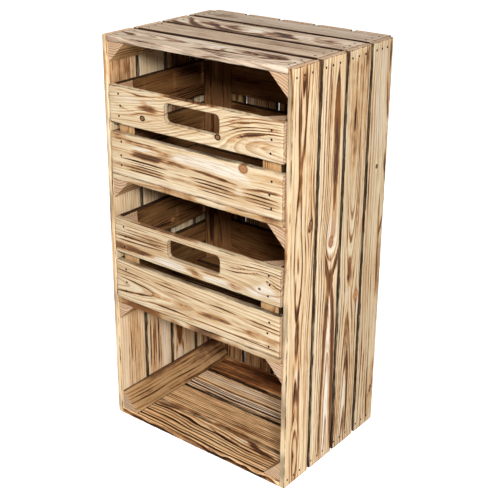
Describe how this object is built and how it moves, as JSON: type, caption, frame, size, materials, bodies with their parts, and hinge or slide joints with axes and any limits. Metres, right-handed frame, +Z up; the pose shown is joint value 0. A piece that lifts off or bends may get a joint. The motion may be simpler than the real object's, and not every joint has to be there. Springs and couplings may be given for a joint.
{
  "type": "slatted crate cabinet with drawers",
  "caption": "Standing slatted crate cabinet in flamed pine: crate drawers with hand slots slide on triangular runners above an open bottom compartment.",
  "frame": {"origin": "on the floor under the middle of the whole part's box", "axes": "+X to the right seen from the front, +Y to the back, +Z up; the drawers pull out along -Y"},
  "size_m": [0.408, 0.308, 0.76],
  "materials": {
    "outer_pine": "flamed and brushed pine: pale wood with charred grain lines, scorched patches and blackened board edges, unvarnished",
    "inner_pine": "flamed pine, a warmer brown, rough sawn on the inside",
    "drawer_front_pine": "flamed and brushed pine with wavy charred grain, knots and smoked edges",
    "drawer_pine": "flamed pine, lightly scorched, rough sawn",
    "strip_pine": "sawn pine strips, pale pinkish end grain with growth rings",
    "nail_steel": "bare steel wire nails, blackened and browned by the flame, their heads level with the wood"
  },
  "bodies": {
    "cabinet": {"left_side_board_1": "outer_pine", "left_side_board_2": "outer_pine", "left_side_board_3": "outer_pine", "left_side_board_4": "outer_pine", "right_side_board_1": "outer_pine", "right_side_board_2": "outer_pine", "right_side_board_3": "outer_pine", "right_side_board_4": "outer_pine", "bottom_board_1": "inner_pine", "bottom_board_2": "inner_pine", "bottom_board_3": "inner_pine", "bottom_board_4": "inner_pine", "top_board_1": "outer_pine", "top_board_2": "outer_pine", "top_board_3": "outer_pine", "top_board_4": "outer_pine", "back_board_1": "inner_pine", "back_board_2": "inner_pine", "back_board_3": "inner_pine", "back_board_4": "inner_pine", "back_board_5": "inner_pine", "bottom_left_strip": "strip_pine", "bottom_right_strip": "strip_pine", "top_left_strip": "strip_pine", "top_right_strip": "strip_pine", "lower_left_runner": "strip_pine", "lower_right_runner": "strip_pine", "upper_left_runner": "strip_pine", "upper_right_runner": "strip_pine", "carcass_nails": "nail_steel"},
    "lower_drawer": {"lower_drawer_front_lower_board": "drawer_front_pine", "lower_drawer_front_upper_board": "drawer_front_pine", "lower_drawer_back_lower_board": "drawer_pine", "lower_drawer_back_upper_board": "drawer_pine", "lower_drawer_left_lower_board": "drawer_pine", "lower_drawer_left_upper_board": "drawer_pine", "lower_drawer_right_lower_board": "drawer_pine", "lower_drawer_right_upper_board": "drawer_pine", "lower_drawer_floor_board_1": "drawer_pine", "lower_drawer_floor_board_2": "drawer_pine", "lower_drawer_floor_board_3": "drawer_pine", "lower_drawer_floor_board_4": "drawer_pine", "lower_drawer_front_posts": "strip_pine", "lower_drawer_back_posts": "strip_pine", "lower_drawer_nails": "nail_steel"},
    "upper_drawer": {"upper_drawer_front_lower_board": "drawer_front_pine", "upper_drawer_front_upper_board": "drawer_front_pine", "upper_drawer_back_lower_board": "drawer_pine", "upper_drawer_back_upper_board": "drawer_pine", "upper_drawer_left_lower_board": "drawer_pine", "upper_drawer_left_upper_board": "drawer_pine", "upper_drawer_right_lower_board": "drawer_pine", "upper_drawer_right_upper_board": "drawer_pine", "upper_drawer_floor_board_1": "drawer_pine", "upper_drawer_floor_board_2": "drawer_pine", "upper_drawer_floor_board_3": "drawer_pine", "upper_drawer_floor_board_4": "drawer_pine", "upper_drawer_front_posts": "strip_pine", "upper_drawer_back_posts": "strip_pine", "upper_drawer_nails": "nail_steel"}
  },
  "joints": [
    {"name": "lower_drawer_slide", "type": "slide", "parent": "cabinet", "child": "lower_drawer", "axis": [0, -1, 0], "range_m": [0, 0.2]},
    {"name": "upper_drawer_slide", "type": "slide", "parent": "cabinet", "child": "upper_drawer", "axis": [0, -1, 0], "range_m": [0, 0.2]}
  ]
}
